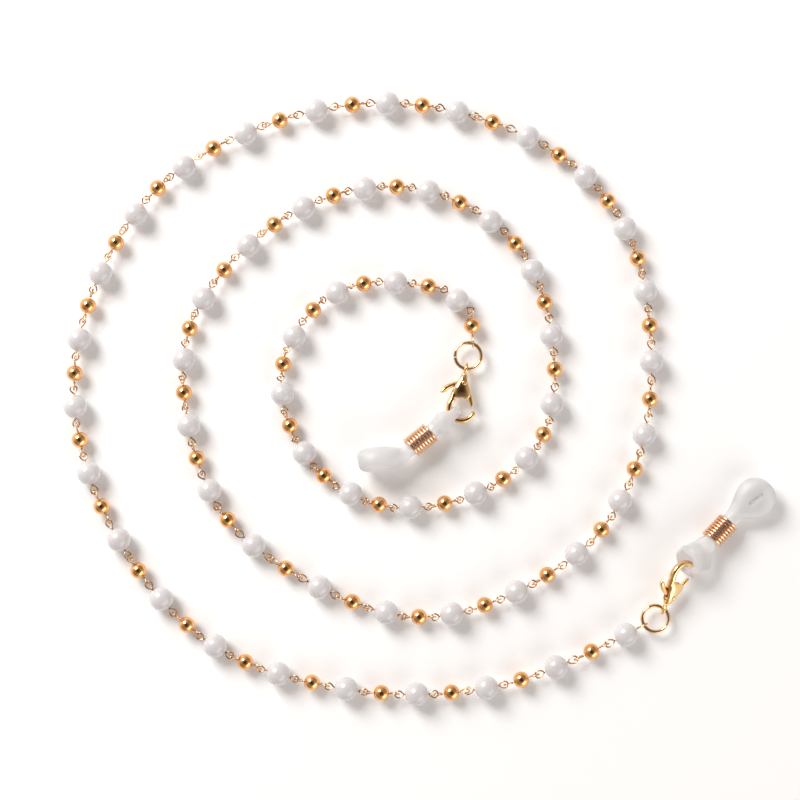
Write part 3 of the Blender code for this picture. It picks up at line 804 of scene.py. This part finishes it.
def coil_sleeve(side, end, clasp):
    """Coil of round wire with flat-cut ends."""
    coil = silicone_layout(end, clasp)[2]
    steps = 28 * COIL_TURNS
    wound_length = COIL_LENGTH - 2 * COIL_WIRE
    points = []
    for step in range(steps + 1):
        angle = 2 * math.pi * COIL_TURNS * step / steps - math.pi / 2
        along = -wound_length / 2 + wound_length * step / steps
        points.append(Vector((along, FINE_COIL_RADIUS * math.cos(angle),
                              FINE_COIL_RADIUS * math.sin(angle))))
    sleeve = raw_mesh(f"fine_coil_sleeve_{side}",
                      *sweep(points, FINE_COIL_WIRE, 12, Vector((1, 0, 0))))
    place(sleeve, f"coil_{side}", MATERIALS["coil_copper"], [f"coil_sleeve_{side}"],
          coil, sharp=60)


# Floor, lights and camera

def area_light(name, location, size, power):
    """Softbox aimed at the origin."""
    data = bpy.data.lights.new(name, "AREA")
    data.shape = "RECTANGLE"
    data.size, data.size_y = size
    data.energy = power
    lamp = bpy.data.objects.new(name, data)
    bpy.context.scene.collection.objects.link(lamp)
    lamp.location = location
    lamp.rotation_euler = (-Vector(location)).to_track_quat("-Z", "Y").to_euler()


def floor_and_lights():
    """Pale floor, soft light from the upper left and a weaker one from the lower right."""
    bpy.ops.mesh.primitive_plane_add(size=6)
    floor = bpy.context.object
    floor.name = "floor"
    material, _, shader = new_material("floor", 0.0)
    shader.inputs["Base Color"].default_value = (0.96, 0.955, 0.95, 1)
    shader.inputs["Roughness"].default_value = 0.9
    floor.data.materials.append(material)
    area_light("key", (-0.46, 0.5, 0.56), (0.42, 0.42), 7.6)
    area_light("fill", (0.56, -0.6, 0.46), (0.9, 0.5), 2.6)


def surroundings():
    """Pale all round and dark overhead, with two dark quarters for the metal to reflect."""
    world = bpy.data.worlds.new("world")
    bpy.context.scene.world = world
    world.use_nodes = True
    tree = world.node_tree
    nodes = tree.nodes
    coordinates = nodes.new("ShaderNodeTexCoord")
    split = nodes.new("ShaderNodeSeparateXYZ")
    tree.links.new(coordinates.outputs["Generated"], split.inputs[0])
    sky = ramp(tree, split.outputs["Z"],
               [(0.0, (1.0, 0.99, 0.98)), (0.4, (0.88, 0.86, 0.84)), (0.75, (0.4, 0.37, 0.35)),
                (0.95, (0.08, 0.06, 0.05)), (1.0, (0.03, 0.02, 0.015))])
    dark_way = nodes.new("ShaderNodeVectorMath")
    dark_way.operation = "DOT_PRODUCT"
    dark_way.inputs[1].default_value = (0.707, 0.707, 0)
    tree.links.new(coordinates.outputs["Generated"], dark_way.inputs[0])
    squared = nodes.new("ShaderNodeMath")
    squared.operation = "MULTIPLY"
    tree.links.new(dark_way.outputs["Value"], squared.inputs[0])
    tree.links.new(dark_way.outputs["Value"], squared.inputs[1])
    shade = ramp(tree, squared.outputs[0], [(0.0, (1, 1, 1)), (0.8, (0.3, 0.28, 0.27))])
    mix = nodes.new("ShaderNodeMix")
    mix.data_type = "RGBA"
    mix.blend_type = "MULTIPLY"
    mix.inputs["Factor"].default_value = 1
    tree.links.new(sky, mix.inputs["A"])
    tree.links.new(shade, mix.inputs["B"])
    tree.links.new(mix.outputs["Result"], nodes["Background"].inputs["Color"])
    nodes["Background"].inputs["Strength"].default_value = 1.28


def camera():
    """Looks straight down, as the strap is seen lying on a table."""
    data = bpy.data.cameras.new("camera")
    data.lens = 85
    data.sensor_width = 36
    view_width = 168
    centre = Vector((-4.0, -0.63, 2.0)) + SHIFT
    eye = bpy.data.objects.new("camera", data)
    bpy.context.scene.collection.objects.link(eye)
    distance = view_width * data.lens / data.sensor_width
    eye.location = (centre + Vector((0, 0, distance))) * MM
    eye.rotation_euler = (0, 0, 0)
    data.clip_start = 0.01
    bpy.context.scene.camera = eye


bpy.context.scene.view_settings.view_transform = "Standard"
floor_and_lights()
surroundings()
camera()
chain_pieces()
for end_name, end_layout, end_hook in (("outer", OUTER_END, hook_plan[0]),
                                       ("inner", INNER_END, hook_plan[-1])):
    clasp_matrix = clasp_frame(end_layout)
    jump_ring(end_name, end_layout, end_hook)
    clasp_body(end_name, clasp_matrix, end_layout["clasp"][2])
    clasp_lever(end_name, clasp_matrix)
    clasp_rivet(end_name, clasp_matrix)
    lever_spring(end_name, clasp_matrix)
    silicone_loop(end_name, end_layout, clasp_matrix)
    coil_sleeve(end_name, end_layout, clasp_matrix)

bpy.context.view_layer.update()
